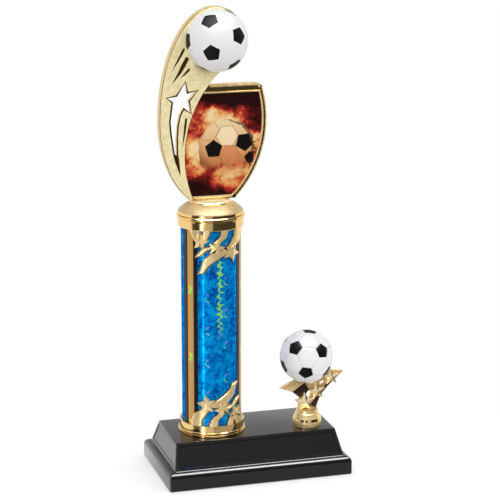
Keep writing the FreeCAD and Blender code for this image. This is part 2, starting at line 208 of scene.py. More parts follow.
def new_effect(name, inputs, outputs):
    """Shader node group with named inputs (and their first values) and outputs."""
    tree = bpy.data.node_groups.new(name, "ShaderNodeTree")
    for key, value in inputs.items():
        tree.interface.new_socket(key, in_out="INPUT", socket_type="NodeSocketFloat").default_value = value
    for key, kind in outputs.items():
        tree.interface.new_socket(key, in_out="OUTPUT", socket_type="NodeSocket" + kind)
    return tree, tree.nodes.new("NodeGroupInput"), tree.nodes.new("NodeGroupOutput")


def use_effect(tree, effect, inputs=()):
    """Place an effect in a material with its own values."""
    return add(tree, "ShaderNodeGroup", inputs, node_tree=effect)


def noise(tree, place, scale, detail=2.0, roughness=0.5, distortion=0.0):
    """Cloudy pattern, from nought to one."""
    return add(tree, "ShaderNodeTexNoise", {"Vector": place, "Scale": scale, "Detail": detail,
                                            "Roughness": roughness, "Distortion": distortion}).outputs[0]


def give(node, key, value):
    """Join a value that changes over the surface to one of a node's inputs."""
    node.id_data.links.new(value, node.inputs[key])


def paint(shader, colour):
    """Give a shader a colour that changes over the surface."""
    give(shader, "Base Color", colour)


def emboss(shader, height, distance, strength):
    """Give a shader relief, so many metres from its low places to its high ones."""
    bump = add(shader.id_data, "ShaderNodeBump", {"Height": height, "Distance": distance,
                                                  "Strength": strength})
    give(shader, "Normal", bump.outputs[0])


# Handling marks: faint smears that dull a polished face here and there.
handling, given, result = new_effect("handling_marks", {"Size": 0.02, "Polished": 0.08, "Dulled": 0.16},
                                     {"Roughness": "Float", "Height": "Float"})
spot = spot_on(handling)
smear = noise(handling, spot, calc(handling, "DIVIDE", 1, given.outputs["Size"]), 5.0, 0.6)
smear = add(handling, "ShaderNodeMapRange", {0: smear, 1: 0.35, 2: 0.68, 3: given.outputs["Polished"],
                                             4: given.outputs["Dulled"]}).outputs[0]
give(result, "Roughness", smear)
give(result, "Height", noise(handling, spot, 60.0, 1.0))


def add_marks(shader, size, polished, dulled, ripple_height=0.0):
    """Give a shader the handling marks, and a faint moulding ripple if asked."""
    marks = use_effect(shader.id_data, handling, {"Size": size, "Polished": polished, "Dulled": dulled})
    give(shader, "Roughness", marks.outputs["Roughness"])
    if ripple_height:
        emboss(shader, marks.outputs["Height"], ripple_height, 1.0)


black_gloss, tree, shader = new_finish("black_styrene", (0.006, 0.006, 0.007), 0.1, coat=0.35)
add_marks(shader, 0.03, 0.06, 0.14, 0.00008)


def make_piece(name, shape, slot, finishes, *stands_for, sharp=32):
    """Turn a shape drawn in millimetres into a piece that rides on the trophy."""
    bmesh.ops.scale(shape, vec=(0.001, 0.001, 0.001), verts=shape.verts)
    mesh = bpy.data.meshes.new(name)
    shape.to_mesh(mesh)
    shape.free()
    for finish in finishes:
        mesh.materials.append(finish)
    mesh.shade_smooth()
    mesh.set_sharp_from_angle(angle=math.radians(sharp))
    piece = bpy.data.objects.new(name, mesh)
    scene.collection.objects.link(piece)
    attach(piece, "root")
    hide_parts(*stands_for)


def lift(shape, face, length, depth, height):
    """Extrude a level face to a new size and height; only the first face stays, as the floor."""
    inner = [face] if all(len(edge.link_faces) > 1 for edge in face.edges) else []
    low_x, high_x = min(v.co.x for v in face.verts), max(v.co.x for v in face.verts)
    low_y, high_y = min(v.co.y for v in face.verts), max(v.co.y for v in face.verts)
    raised = bmesh.ops.extrude_face_region(shape, geom=[face])["geom"]
    inner = [f for f in inner if f.is_valid]
    face = [g for g in raised if isinstance(g, bmesh.types.BMFace)][0]
    bmesh.ops.scale(shape, vec=(length / (high_x - low_x), depth / (high_y - low_y), 1), verts=face.verts)
    bmesh.ops.translate(shape, vec=(0, 0, height - face.verts[0].co.z), verts=face.verts)
    bmesh.ops.delete(shape, geom=inner, context="FACES_ONLY")
    return face


def move(shape, by):
    """Move a whole shape."""
    bmesh.ops.translate(shape, vec=by, verts=shape.verts)


def face_outwards(shape):
    """Point every face of a shape outwards."""
    bmesh.ops.recalc_face_normals(shape, faces=shape.faces)


base_low, base_high = [1000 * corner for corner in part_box("base_shell")]
base_length, base_depth, base_height = base_high - base_low
base_wall, corner_radius, foot_edge = 2.6, 1.2, 0.4
lip_side, lip_radius, lip_steps = 10.7, 4.6, 7
base = bmesh.new()
bmesh.ops.create_grid(base, x_segments=1, y_segments=1, size=0.5)
bmesh.ops.scale(base, vec=(base_length - 2 * base_wall, base_depth - 2 * base_wall, 1), verts=base.verts)
bmesh.ops.translate(base, vec=(0, 0, 1000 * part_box("base_weight")[1].z), verts=base.verts)
bmesh.ops.bevel(base, geom=base.verts, offset=corner_radius, affect="VERTICES", segments=5, profile=0.5,
                material=-1)
face = base.faces[:][0]
# each ring is how far in from the sides and from the front, and its height
rings = [(base_wall, base_wall, 0), (foot_edge, foot_edge, 0), (0, 0, foot_edge), (0, 0, lip_side)]
for step in range(1, lip_steps + 1):
    angle = math.radians(90 * step / lip_steps)
    inward = lip_radius - lip_radius * math.cos(angle)
    rings.append((inward, inward, lip_side + lip_radius * math.sin(angle)))
rings += [(5.2, 4.66, 15.3), (5.6, 4.9, 15.45), (5.85, 5.2, 15.9), (9.7, 16.7, 35.3), (9.85, 17.0, 35.85),
          (10.3, 17.5, 36.15), (11.0, 18.2, 36.2)]
for side, front, height in rings:
    face = lift(base, face, base_length - 2 * side, base_depth - 2 * front, height)
base.normal_update()
slopes = [f for f in base.faces if f.calc_center_median().z > 20 and f.calc_area() > 1000
          and 0.01 < abs(f.normal.z) < 0.9 and len(f.verts) == 4]
for margin, sunk in ((1.9, 0.0), (0.5, -0.6)):
    bmesh.ops.inset_individual(base, faces=slopes, thickness=margin, depth=sunk, use_even_offset=True)
face_outwards(base)
make_piece("base", base, "base_plastic", [black_gloss], "base_shell", sharp=25)

plaster, tree, shader = new_finish("cast_plaster", (0.52, 0.49, 0.44), 0.85)
grit = noise(tree, spot_on(tree), 900.0, 4.0)
paint(shader, mix(tree, grit, (0.42, 0.40, 0.36), (0.60, 0.57, 0.52)))
emboss(shader, grit, 0.0002, 0.8)

felt, tree, shader = new_finish("black_felt", (0.02, 0.02, 0.022), 0.95)
fibre = noise(tree, spot_on(tree), 2400.0, 6.0, distortion=1.5)
paint(shader, mix(tree, fibre, (0.010, 0.010, 0.011), (0.045, 0.045, 0.05)))
emboss(shader, fibre, 0.0003, 1.0)


def refinish(node, finish):
    """Give a packed sub-part its finish."""
    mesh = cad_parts[node].data
    mesh.materials.clear()
    mesh.materials.append(finish)


refinish("base_weight", plaster)
refinish("base_felt", felt)


# ---- column ----
# The column is a card tube wrapped in blue embossed foil.  Three printed tapes run
# down it, each a gold line between two black ones, glued over the foil.
foil_low, foil_high = [1000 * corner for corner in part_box("column_foil")]
column_x = (foil_low.x + foil_high.x) / 2
column_radius = (foil_high.x - foil_low.x) / 2
foil_thickness, tape_thickness, tape_turn = 0.4, 0.2, math.radians(36.8)


def millimetres_from(tree, x, z=0):
    """Place on a piece in millimetres, counted from x across and z up."""
    return add(tree, "ShaderNodeMapping", {"Vector": spot_on(tree), "Location": (-x, 0, -z),
                                           "Scale": (1000, 1000, 1000)}).outputs[0]


def swing(tree, value, shift, span):
    """A number that runs from minus to plus half a span, again and again."""
    turned = calc(tree, "FLOORED_MODULO", plus(tree, value, shift), span)
    return minus(tree, turned, span / 2)


def far_off(tree, across, up):
    """Straight distance of a place that is so far across and so far up."""
    return calc(tree, "SQRT", plus(tree, calc(tree, "POWER", across, 2), calc(tree, "POWER", up, 2)))


def cells(tree, place, scale, output="Distance"):
    """Pattern of small cells."""
    return add(tree, "ShaderNodeTexVoronoi", {"Vector": place, "Scale": scale}).outputs[output]


# Bearing in degrees round the column from its front, and height in millimetres.
round_column, given, result = new_effect("round_the_column", {}, {"Bearing": "Float", "Height": "Float"})
part = add(round_column, "ShaderNodeSeparateXYZ", {0: millimetres_from(round_column, column_x)})
bearing = times(round_column, part.outputs[1], -1)
bearing = calc(round_column, "ARCTAN2", part.outputs[0], bearing)
give(result, "Bearing", calc(round_column, "DEGREES", bearing))
give(result, "Height", part.outputs[2])

# Rainbow glints: painted glints in the colours that the embossing splits light into where two patterns meet.
rainbow, given, result = new_effect("rainbow_glint", {"Place": 0.0, "Amount": 1.0},
                                    {"Colour": "Color", "Mask": "Float"})
hue = ramp(rainbow, calc(rainbow, "FRACT", given.outputs["Place"]), [
    (0.0, 0.95, 0.90, 0.10), (0.22, 0.22, 0.85, 0.08), (0.45, 0.02, 0.72, 0.28), (0.62, 0.05, 0.45, 0.85),
    (0.78, 0.75, 0.15, 0.60), (1.0, 0.9, 0.30, 0.04)])
give(result, "Colour", hue)
give(result, "Mask", calc(rainbow, "MINIMUM", 1, given.outputs["Amount"]))


def glinting(tree, colour, place, amount, strength):
    """Colour with painted rainbow glints laid over it."""
    glint = use_effect(tree, rainbow, {"Place": place, "Amount": amount})
    return mix(tree, times(tree, glint.outputs["Mask"], strength), colour, glint.outputs["Colour"])


def round_place(tree):
    """Bearing and height of a place on the column."""
    place = use_effect(tree, round_column)
    return place.outputs["Bearing"], place.outputs["Height"]


def spun(profile, x, y, steps=96, closed=True):
    """Turn a profile of (radius, height) points about an upright axis."""
    shape = bmesh.new()
    points = [shape.verts.new((radius, 0, height)) for radius, height in profile]
    pairs = list(zip(points, points[1:])) + ([(points[-1], points[0])] if closed else [])
    lines = [shape.edges.new(pair) for pair in pairs]
    bmesh.ops.spin(shape, geom=points + lines, cent=(0, 0, 0), axis=(0, 0, 1), angle=2 * math.pi,
                   steps=steps, use_merge=True)
    bmesh.ops.remove_doubles(shape, verts=shape.verts, dist=0.0005)
    move(shape, (x, y, 0))
    face_outwards(shape)
    return shape


foil_finish, tree, shader = new_finish("blue_foil", (0.004, 0.19, 0.55), 0.12, metallic=0.3, specular=0.0)
shader.inputs["Specular Tint"].default_value = (0.05, 0.45, 0.8, 1)
bearing, height = round_place(tree)
across = times(tree, bearing, math.radians(column_radius))
flat = add(tree, "ShaderNodeCombineXYZ", {0: across, 1: height, 2: 0.0}).outputs[0]
cloud = noise(tree, flat, 0.11, 3.0, 0.65)
fleck = cells(tree, flat, 0.42)
shade = calc(tree, "MULTIPLY_ADD", fleck, 0.25, times(tree, cloud, 0.8))
blue = ramp(tree, shade, [(0.0, 0.002, 0.03, 0.24), (0.38, 0.001, 0.07, 0.36), (0.46, 0.001, 0.16, 0.54),
                          (0.56, 0.001, 0.26, 0.70), (0.75, 0.003, 0.46, 0.86)])
# rings of the embossed pattern, in staggered rows, painted in as rainbow glints
row_width, row_rise, ring_radius, half_line = 15.7, 28, 3.3, 0.38
row = calc(tree, "DIVIDE", across, row_width)
stagger = times(tree, calc(tree, "FLOORED_MODULO", calc(tree, "FLOOR", row), 2), row_rise / 2)
ring_x = times(tree, minus(tree, calc(tree, "FRACT", row), 0.5), row_width)
ring_z = plus(tree, plus(tree, height, stagger), 11.0)
ring_z = minus(tree, calc(tree, "FRACT", calc(tree, "DIVIDE", ring_z, row_rise)), 0.5)
ring_z = times(tree, ring_z, row_rise)
off_line = calc(tree, "ABSOLUTE", minus(tree, far_off(tree, ring_x, ring_z), ring_radius))
ring_on = calc(tree, "LESS_THAN", off_line, half_line)
ring_on = times(tree, ring_on, calc(tree, "LESS_THAN", ring_x, -0.4))
ring_on = times(tree, ring_on, calc(tree, "GREATER_THAN", cloud, 0.44))
colour = glinting(tree, blue, calc(tree, "MULTIPLY_ADD", ring_z, 0.11, 0.45), ring_on, 0.75)
# a wandering green glint line, painted in every third of a turn
third = swing(tree, bearing, 58, 120)
wander = calc(tree, "MULTIPLY_ADD", noise(tree, flat, 0.28), 20, -10)
zigzag = calc(tree, "MULTIPLY_ADD", calc(tree, "PINGPONG", height, 2.6), 2.6, -3.4)
off = calc(tree, "ABSOLUTE", plus(tree, plus(tree, third, zigzag), wander))
seam_shade_and_glint = calc(tree, "LESS_THAN", off, 3.1)
broken = noise(tree, flat, 0.5)
tall = grey_ramp(tree, calc(tree, "DIVIDE", height, 300), [
    (0.0, 0.0), (0.40, 0.0), (0.47, 1.0), (0.62, 1.0), (0.67, 0.0), (1.0, 0.0)])
seam_shade_and_glint = times(tree, times(tree, seam_shade_and_glint, calc(tree, "GREATER_THAN", broken, 0.38)), tall)
paint(shader, glinting(tree, colour, calc(tree, "MULTIPLY_ADD", off, 0.11, 0.03), seam_shade_and_glint, 0.85))
emboss(shader, plus(tree, fleck, cloud), 0.0001, 0.15)

foil_inside = column_radius - foil_thickness
foil = spun([(foil_inside, foil_low.z), (column_radius, foil_low.z), (column_radius, foil_high.z),
             (foil_inside, foil_high.z)], column_x, 0, steps=160)
make_piece("foil_wrap", foil, "blue_foil", [foil_finish], "column_foil")

tape_finish, tree, shader = new_finish("striped_tape", (0.4, 0.3, 0.1), 0.3, metallic=0.6, specular=0.15)
bearing, height = round_place(tree)
off = swing(tree, bearing, 120, 120)
gold_line = times(tree, calc(tree, "GREATER_THAN", off, -5.2), calc(tree, "LESS_THAN", off, 9.6))
grey_line = calc(tree, "LESS_THAN", calc(tree, "ABSOLUTE", plus(tree, off, 12.2)), 2.6)
black = mix(tree, grey_line, (0.010, 0.010, 0.014), (0.035, 0.035, 0.05))
run = times(tree, height, 0.12)
brushed = noise(tree, add(tree, "ShaderNodeCombineXYZ", {0: off, 1: run}).outputs[0], 0.9, 3.0)
gold = mix(tree, brushed, (0.50, 0.26, 0.07), (0.72, 0.42, 0.13))
# short bursts of glints up the gold line, each in steps of colour
steps = times(tree, calc(tree, "FRACT", calc(tree, "DIVIDE", height, 5.8)), 0.3)
burst = calc(tree, "LESS_THAN", calc(tree, "ABSOLUTE", swing(tree, height, -18, 58)), 3.4)
narrow = calc(tree, "LESS_THAN", calc(tree, "ABSOLUTE", plus(tree, off, -2.2)), 4.6)
sparkle = times(tree, times(tree, burst, gold_line), narrow)
hue_place = plus(tree, plus(tree, steps, -0.08), times(tree, off, 0.03))
gold = glinting(tree, gold, hue_place, sparkle, 0.8)
paint(shader, mix(tree, gold_line, black, gold))
give(shader, "Metallic", times(tree, gold_line, 0.55))

for node, middle in (("stripe_left", -60), ("stripe_right", 60), ("stripe_back", 180)):
    start = math.radians(middle) - tape_turn / 2
    tape = bmesh.new()
    corners = []
    for radius, height in ((column_radius, foil_low.z), (column_radius + tape_thickness, foil_low.z),
                           (column_radius + tape_thickness, foil_high.z), (column_radius, foil_high.z)):
        corners.append(tape.verts.new((radius * math.sin(start), -radius * math.cos(start), height)))
    strip_end = tape.faces.new(corners)
    bmesh.ops.spin(tape, geom=[strip_end], cent=(0, 0, 0), axis=(0, 0, 1), angle=tape_turn, steps=16)
    face_outwards(tape)
    move(tape, (column_x, 0, 0))
    make_piece("tape_" + node.split("_")[1], tape, "stripe_tape", [tape_finish], node)

card, tree, shader = new_finish("grey_card", (0.30, 0.26, 0.20), 0.9)
bearing, height = round_place(tree)
wound = calc(tree, "FRACT", plus(tree, calc(tree, "DIVIDE", bearing, 360),
                                 calc(tree, "DIVIDE", height, 40)))
ply_seam = calc(tree, "LESS_THAN", wound, 0.02)
kraft = mix(tree, noise(tree, spot_on(tree), 1200.0, 4.0), (0.24, 0.20, 0.15), (0.36, 0.31, 0.24))
paint(shader, mix(tree, ply_seam, kraft, (0.16, 0.13, 0.10)))
refinish("column_tube", card)


# ---- collars ----
# Two castings of one pattern in vacuum-plated gold plastic, one standing on the
# base and one turned over under the cap.  Each is a cup with a rim and a bead, and
# an openwork of stars and tails that wraps the foot or head of the column.
def plating(name, colour, roughness, metallic, size, polished, dulled, ripple_height):
    """Gold plating: its finish, then the size, two roughnesses and ripple of its marks."""
    material, tree, shader = new_finish(name, colour, roughness, metallic=metallic)
    add_marks(shader, size, polished, dulled, ripple_height)
    return material


polished_gold = plating("polished_gold", (0.93, 0.64, 0.26), 0.1, 1.0, 0.008, 0.05, 0.16, 0.00015)
soft_gold = plating("soft_gold", (0.94, 0.70, 0.34), 0.22, 0.5, 0.006, 0.17, 0.32, 0.0002)
# dark gold, laid where painted shade and painted shadow are wanted
shade_painted_gold = plating("shade_painted_gold", (0.30, 0.19, 0.06), 0.25, 1.0, 0.006, 0.2, 0.35, 0.0001)
edge_gold = plating("edge_gold", (0.78, 0.58, 0.24), 0.3, 0.35, 0.008, 0.22, 0.4, 0.0001)
pale_gold = plating("pale_gold", (0.95, 0.82, 0.50), 0.3, 0.3, 0.01, 0.22, 0.36, 0.0001)

# Pebble: the fine even grain of a frosted mould face; its mask follows the grain's height, for painted
# sparkle on the raised grain and painted shade in the hollows.
pebble, given, result = new_effect("pebbled_face", {"Grain": 0.0007}, {"Height": "Float", "Mask": "Float"})
spot = spot_on(pebble)
fine = calc(pebble, "DIVIDE", 1, given.outputs["Grain"])
beads = cells(pebble, spot, fine)
drift = noise(pebble, spot, times(pebble, fine, 0.3))
give(result, "Height", calc(pebble, "MULTIPLY_ADD", drift, 0.6, beads))
mask = calc(pebble, "MULTIPLY_ADD", drift, 1.1, calc(pebble, "MULTIPLY_ADD", beads, 0.9, -0.5))
give(result, "Mask", held(pebble, mask))


def frosting(name, colour, roughness, metallic, grain_size, shaded_hollows, lit_tops, distance, strength):
    """Frosted gold: its finish, then its grain, the grain's two colours (painted shade in the hollows,
    painted sparkle on the tops) and its relief.
    """
    material, tree, shader = new_finish(name, colour, roughness, metallic=metallic)
    grain = use_effect(tree, pebble, {"Grain": grain_size})
    paint(shader, mix(tree, grain.outputs["Mask"], shaded_hollows, lit_tops))
    emboss(shader, grain.outputs["Height"], distance, strength)
    return material


satin_gold = frosting("satin_gold", (0.9, 0.7, 0.3), 0.36, 0.04, 0.0011, (0.78, 0.58, 0.25),
                      (1.0, 0.97, 0.63), 0.00018, 0.8)


def meshed(line):
    """Shape of a curve that has a thickness."""
    holder = bpy.data.objects.new("line", line)
    scene.collection.objects.link(holder)
    bpy.context.view_layer.update()
    mesh = bpy.data.meshes.new_from_object(holder.evaluated_get(bpy.context.evaluated_depsgraph_get()))
    shape = bmesh.new()
    shape.from_mesh(mesh)
    bpy.data.objects.remove(holder)
    bpy.data.curves.remove(line)
    bpy.data.meshes.remove(mesh)
    return shape


sharp_corner = math.radians(105)


def cut_sheet(outlines, thickness, edge, curved=False):
    """Flat sheet with rounded edges, cut to the first outline and pierced by the others."""
    line = bpy.data.curves.new("sheet", "CURVE")
    line.dimensions, line.fill_mode = "2D", "BOTH"
    line.extrude, line.bevel_depth, line.offset = thickness / 2 - edge, edge, -edge
    line.bevel_resolution, line.resolution_u = 2, 5
    for outline in outlines:
        if curved:
            spline = line.splines.new("BEZIER")
            spline.bezier_points.add(len(outline) - 1)
            for number, (point, (x, z)) in enumerate(zip(spline.bezier_points, outline)):
                before = Vector(outline[number - 1]) - Vector((x, z))
                after = Vector(outline[(number + 1) % len(outline)]) - Vector((x, z))
                point.co = (x, z, 0)
                kind = "VECTOR" if before.angle(after) < sharp_corner else "AUTO"
                point.handle_left_type = point.handle_right_type = kind
        else:
            spline = line.splines.new("POLY")
            spline.points.add(len(outline) - 1)
            for point, (x, z) in zip(spline.points, outline):
                point.co = (x, z, 0, 1)
        spline.use_cyclic_u = True
    shape = meshed(line)
    bmesh.ops.remove_doubles(shape, verts=shape.verts, dist=0.001)
    return shape


def raised_star(x, z, outer, inner, tilt, thickness, ridge):
    """Five-pointed star with ridges from its middle to its points."""
    shape = bmesh.new()
    points = bmesh.ops.create_circle(shape, cap_ends=True, segments=10, radius=1)["verts"]
    for number, point in enumerate(points):
        angle = math.radians(90 + tilt - 36 * number)
        radius = inner if number % 2 else outer
        point.co = (x + radius * math.cos(angle), z + radius * math.sin(angle), -thickness / 2)
    raised = bmesh.ops.extrude_face_region(shape, geom=shape.faces[:])["geom"]
    upper = [g for g in raised if isinstance(g, bmesh.types.BMVert)]
    bmesh.ops.translate(shape, vec=(0, 0, thickness), verts=upper)
    front = [g for g in raised if isinstance(g, bmesh.types.BMFace)]
    middle = bmesh.ops.poke(shape, faces=front)["verts"]
    bmesh.ops.translate(shape, vec=(x - middle[0].co.x, z - middle[0].co.y, ridge), verts=middle)
    face_outwards(shape)
    return shape


def join(whole, part, turn=None):
    """Add one shape to another, moved first if a matrix is given."""
    if turn:
        bmesh.ops.transform(part, matrix=turn, verts=part.verts)
    mesh = bpy.data.meshes.new("part")
    part.to_mesh(mesh)
    part.free()
    whole.from_mesh(mesh)
    bpy.data.meshes.remove(mesh)


def tinted(shape, finish):
    """Give every face of a shape one of its piece's finishes, by number."""
    for face in shape.faces:
        face.material_index = finish
    return shape


def forward(by):
    """Matrix that brings a flat sheet so far towards the front."""
    return Matrix.Translation((0, 0, by))


def grown(outline, by):
    """Closed outline moved outwards, corners kept sharp."""
    area = sum(a[0] * b[1] - b[0] * a[1] for a, b in zip(outline, outline[1:] + outline[:1]))
    moved = []
    for number, (x, z) in enumerate(outline):
        before = (Vector((x, z)) - Vector(outline[number - 1])).normalized()
        after = (Vector(outline[(number + 1) % len(outline)]) - Vector((x, z))).normalized()
        out = Vector((before.y, -before.x)) + Vector((after.y, -after.x))
        reach = by / max(0.45, (1 + before.dot(after)) / 2) / 2 * (1 if area > 0 else -1)
        moved.append((x + out.x * reach, z + out.y * reach))
    return moved


collar_inner, band_radius, sheet_middle = 25.35, 27.5, 0.95
tails = [
    [(-27, 8.5), (-24, 19), (-17, 24), (-13, 28), (-9, 24), (-12, 20), (-15.5, 15), (-16, 8.5)],
    [(-9.5, 8.5), (-6, 17), (-2, 20), (0, 24), (5, 20), (2, 18), (-1, 15), (-3, 8.5)],
    [(7, 8.5), (10, 17), (13, 20), (16.5, 18), (14.5, 14.5), (12, 8.5)],
    [(17, 8.5), (17, 13), (18, 18), (22, 18), (25, 14), (27, 8.5)],
    [(-9, 28), (-5, 31), (0, 34), (5, 37), (10, 41), (13, 45), (19, 47), (16, 42), (14, 36),
     (10, 32), (5, 28), (0, 26.5), (-5, 26)],
    [(2, 26), (9, 26), (13, 28.5), (17, 31.5), (21.5, 33.5), (19, 29.5), (15, 26), (10, 24), (4, 22)],
]
stars = [(-11.5, 29, 8.2, 3.9, 8), (2.5, 24.5, 7.2, 3.4, 20), (16, 19.5, 7.4, 3.5, 28)]


def openwork():
    """Stars and tails, laid flat and then bent round the column's front."""
    shape = bmesh.new()
    for outline in tails:
        join(shape, tinted(cut_sheet([outline], 2.1, 1.0, curved=True), 1), forward(0.1))
    for x, z, outer, inner, tilt in stars:
        join(shape, tinted(raised_star(x, z, outer, inner, tilt, 2.6, 1.0), 1), forward(0.55))
    # thin dark gold sheets just behind the tails: painted shadow on the foil round them
    for outline in tails:
        shadow_outline = cut_sheet([grown(outline, 0.7)], 0.5, 0.05, curved=True)
        join(shape, tinted(shadow_outline, 2), forward(-0.65))
    for across in range(-30, 31, 2):
        bmesh.ops.bisect_plane(shape, geom=shape.verts[:] + shape.edges[:] + shape.faces[:],
                               plane_co=(across, 0, 0), plane_no=(1, 0, 0))
    for vert in shape.verts:
        around, height, out = vert.co
        angle, radius = around / band_radius, collar_inner + sheet_middle + out
        vert.co = (radius * math.sin(angle), -radius * math.cos(angle), height)
    return shape


def collar():
    """Cup with its rim and bead, and the openwork twice, front and rear."""
    shape = spun([(3.4, 0), (28.1, 0), (28.5, 0.4), (28.5, 1.7), (28.2, 2.1), (27.55, 2.2), (28.0, 2.45),
                  (28.2, 3.05), (28.0, 3.65), (27.5, 4.0), (27.5, 9.7), (27.2, 10.2), (25.6, 10.2),
                  (collar_inner, 9.9), (collar_inner, 2), (3.4, 2)], 0, 0, steps=128)
    join(shape, openwork())
    join(shape, openwork(), Matrix.Rotation(math.pi, 4, "Z"))
    return shape


for name, low, flip in (("bottom_collar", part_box("bottom_collar")[0].z, 0),
                        ("top_collar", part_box("top_collar")[1].z, math.pi)):
    shape = collar()
    bmesh.ops.transform(shape, verts=shape.verts, matrix=Matrix.Translation(
        (column_x, 0, 1000 * low)) @ Matrix.Rotation(flip, 4, "Y"))
    shape.normal_update()
    # faces that look downwards take the dark gold: painted shade on the undersides
    for face in shape.faces:
        if face.material_index and face.normal.z < -0.3:
            face.material_index = 2
    make_piece(name + "_plated", shape, "gold_plastic", [polished_gold, soft_gold, shade_painted_gold], name, sharp=30)


# ---- cap ----
# A plated cone closes the top collar and carries the figure's foot.  Its slope is
# lightly frosted, its lower edge and its top ring are polished.
cap = spun([(25.5, 0), (27.1, 0), (27.3, 0.2), (27.3, 1.5), (27.15, 2.4), (26.6, 3.4), (25.5, 4.4),
            (22.2, 6.9), (18.5, 9.15), (17.7, 9.5), (7.4, 9.5), (7.4, 7.7), (17.1, 7.7), (25.5, 1)],
           column_x, 0, steps=128)
move(cap, (0, 0, 1000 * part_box("column_cap")[0].z))
for face in cap.faces:
    face.material_index = int(0.3 < face.normal.z < 0.98)
frosted_gold = frosting("frosted_gold", (0.82, 0.62, 0.28), 0.42, 0.12, 0.0009, (0.45, 0.31, 0.11),
                        (0.72, 0.54, 0.26), 0.00006, 0.6)
make_piece("cap_plated", cap, "gold_plastic", [polished_gold, frosted_gold], "column_cap")


# ---- winged frame ----
# One plated moulding: a tall wing with a shooting-star opening and tail grooves, a
# shield-shaped frame round the insert, and a round foot whose spigot drops into the
# cap and is pulled down by the tie rod.
foot_height = 2.5
figure_z = 1000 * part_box("column_cap")[1].z + foot_height
stand_up = Matrix.Translation((column_x, 0, figure_z)) @ Matrix.Rotation(math.pi / 2, 4, "X")


def arc(middle, radius, first, last, steps, rise=None):
    """Points along a round or elliptic arc, angles in degrees from the right."""
    x, z = middle
    angles = [math.radians(first + (last - first) * step / steps) for step in range(steps + 1)]
    return [(x + radius * math.cos(a), z + (rise or radius) * math.sin(a)) for a in angles]


# middles of the wing's oval, of the ball's seat, and of the arcs down the shield's two sides
wing_middle, seat_middle, left_side, right_side = (3.9, 64.0), (4.3, 131.6), (72.4, 35.9), (-46.5, 66.0)
wing_width, wing_rise, wing_drop, seat_radius = 47.4, 94.8, 72.8, 23.7
wing = (arc(wing_middle, wing_width, 241.5, 180, 20, wing_drop)
        + arc(wing_middle, wing_width, 177, 71.6, 36, wing_rise)
        + arc(seat_middle, seat_radius, 55, 282, 30) + arc(left_side, 95.0, 131.5, 202.2, 24))
shield = (arc(left_side, 96.0, 202.0, 141.8, 16) + [(39.0, 95.3), (40.6, 94.9), (41.9, 93.8)]
          + arc(right_side, 93.6, 17.0, -44.8, 24))
pocket = arc(left_side, 95.0, 200.3, 146.6, 14) + arc(right_side, 89.5, 14.4, -44.8, 22)
star_hole = [(-21.7, 98.8), (-20.4, 89.3), (-11.3, 91.3), (-19.2, 82.8), (-17.2, 72.5), (-23.5, 77.0),
             (-26.9, 70.6), (-28.6, 62.5), (-29.4, 52.3), (-29.3, 38.0), (-31.6, 38.5), (-34.2, 56.0),
             (-35.0, 66.3), (-32.8, 82.3), (-37.6, 86.0), (-29.3, 87.2)]
grooves = []
for x_1, z_1, x_2, z_2, width in ((-22.7, 125.6, -32.8, 108.2, 1.9), (-20.0, 118.2, -33.0, 97.4, 3.4),
                                  (-18.6, 108.9, -25.8, 101.8, 1.9), (-21.5, 68.5, -24.9, 45.0, 1.8)):
    along = Vector((x_2 - x_1, z_2 - z_1)).normalized()
    side = Vector((along.y, -along.x)) * width / 2
    start, end = Vector((x_1, z_1)), Vector((x_2, z_2))
    middle = start * 0.45 + end * 0.55 - side * width * 0.12
    grooves.append([tuple(p) for p in (start + side * 0.9, start - along * 0.6, start - side * 0.9,
                                       (start + middle) / 2 - side * 1.05, middle - side * 0.75, end,
                                       middle + side * 0.75, (start + middle) / 2 + side * 0.95)])


def beading(points, radius):
    """Round raised bead along an open line."""
    line = bpy.data.curves.new("bead", "CURVE")
    line.dimensions, line.bevel_depth, line.bevel_resolution, line.use_fill_caps = "3D", radius, 2, True
    spline = line.splines.new("POLY")
    spline.points.add(len(points) - 1)
    for point, (x, z) in zip(spline.points, points):
        point.co = (x, z, 0, 1)
    return meshed(line)


def inside_wing(x, z):
    """Whether a place is well inside the wing's outline."""
    wide, tall = 45.2, 92 if z > wing_middle[1] else 70
    across, up = (x - wing_middle[0]) / wide, (z - wing_middle[1]) / tall
    return (math.hypot(across, up) < 1 and math.dist((x, z), left_side) > 96.2
            and math.dist((x, z), seat_middle) > 24.6)


winged_frame = bmesh.new()
# the wing's two rear layers, then its frosted front skin; the opening steps down through them
through = [(x + 0.4, z - 0.25) for x, z in grown(star_hole, -0.5)]
join(winged_frame, cut_sheet([wing, through], 3.8, 0.1), forward(1.5))
join(winged_frame, cut_sheet([wing, grown(through, 1.3)], 4.6, 0.1), forward(-2.7))
winged_frame.normal_update()
# front faces of the rear layers take the dark gold: painted shade on the step round the opening and on the
# ledge round the skin
for face in winged_frame.faces:
    middle = face.calc_center_median()
    face.material_index = 4 if face.normal.z > 0.95 else 3 if inside_wing(middle.x, middle.y) else 5
tailed = star_hole[:10] + [(-28.6, 34.0), (-26.6, 21.0), (-29.9, 32.0)] + star_hole[10:]
skin = cut_sheet([grown(wing, -0.4), grown(tailed, 0.9)] + grooves, 1.7, 0.2)
skin.normal_update()
# walls of the opening and of the grooves in the skin take the dark gold: painted shade in these recesses
for face in skin.faces:
    middle = face.calc_center_median()
    face.material_index = 1 if face.normal.z > 0.95 else 4 if inside_wing(middle.x, middle.y) else 2
join(winged_frame, skin, forward(4.15))
